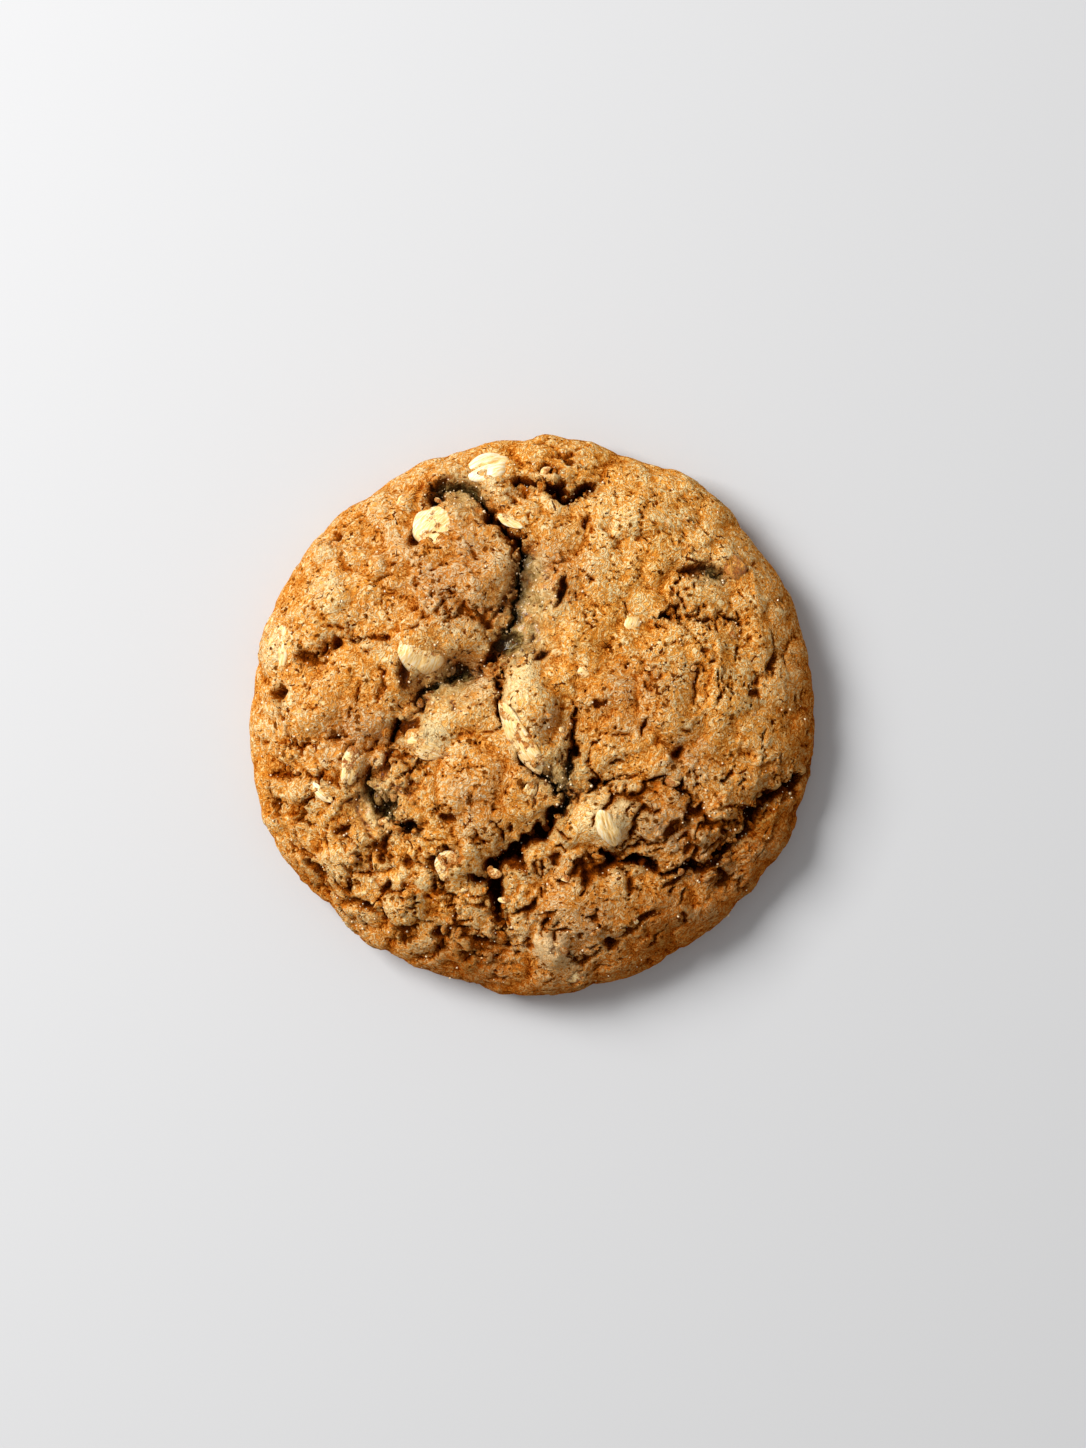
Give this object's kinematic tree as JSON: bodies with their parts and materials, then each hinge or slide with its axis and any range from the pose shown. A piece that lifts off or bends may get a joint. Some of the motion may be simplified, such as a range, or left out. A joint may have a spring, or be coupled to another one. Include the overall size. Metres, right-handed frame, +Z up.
{
  "type": "oatmeal cookie",
  "caption": "Round soft-baked oatmeal cookie with a domed, cracked and cobbled crust, rolled oats set in it and a flat base.",
  "frame": {"origin": "middle of the flat base, under the middle of the outline's box", "axes": "+Z up, out of the domed top; +Y towards the far side, the top of the picture; +X to its right"},
  "size_m": [0.0848, 0.0838, 0.0175],
  "materials": {
    "crust": "rough matte baked crust",
    "oats": "matte rolled oat"
  },
  "bodies": {
    "root": {"cookie": "crust"}
  },
  "joints": []
}
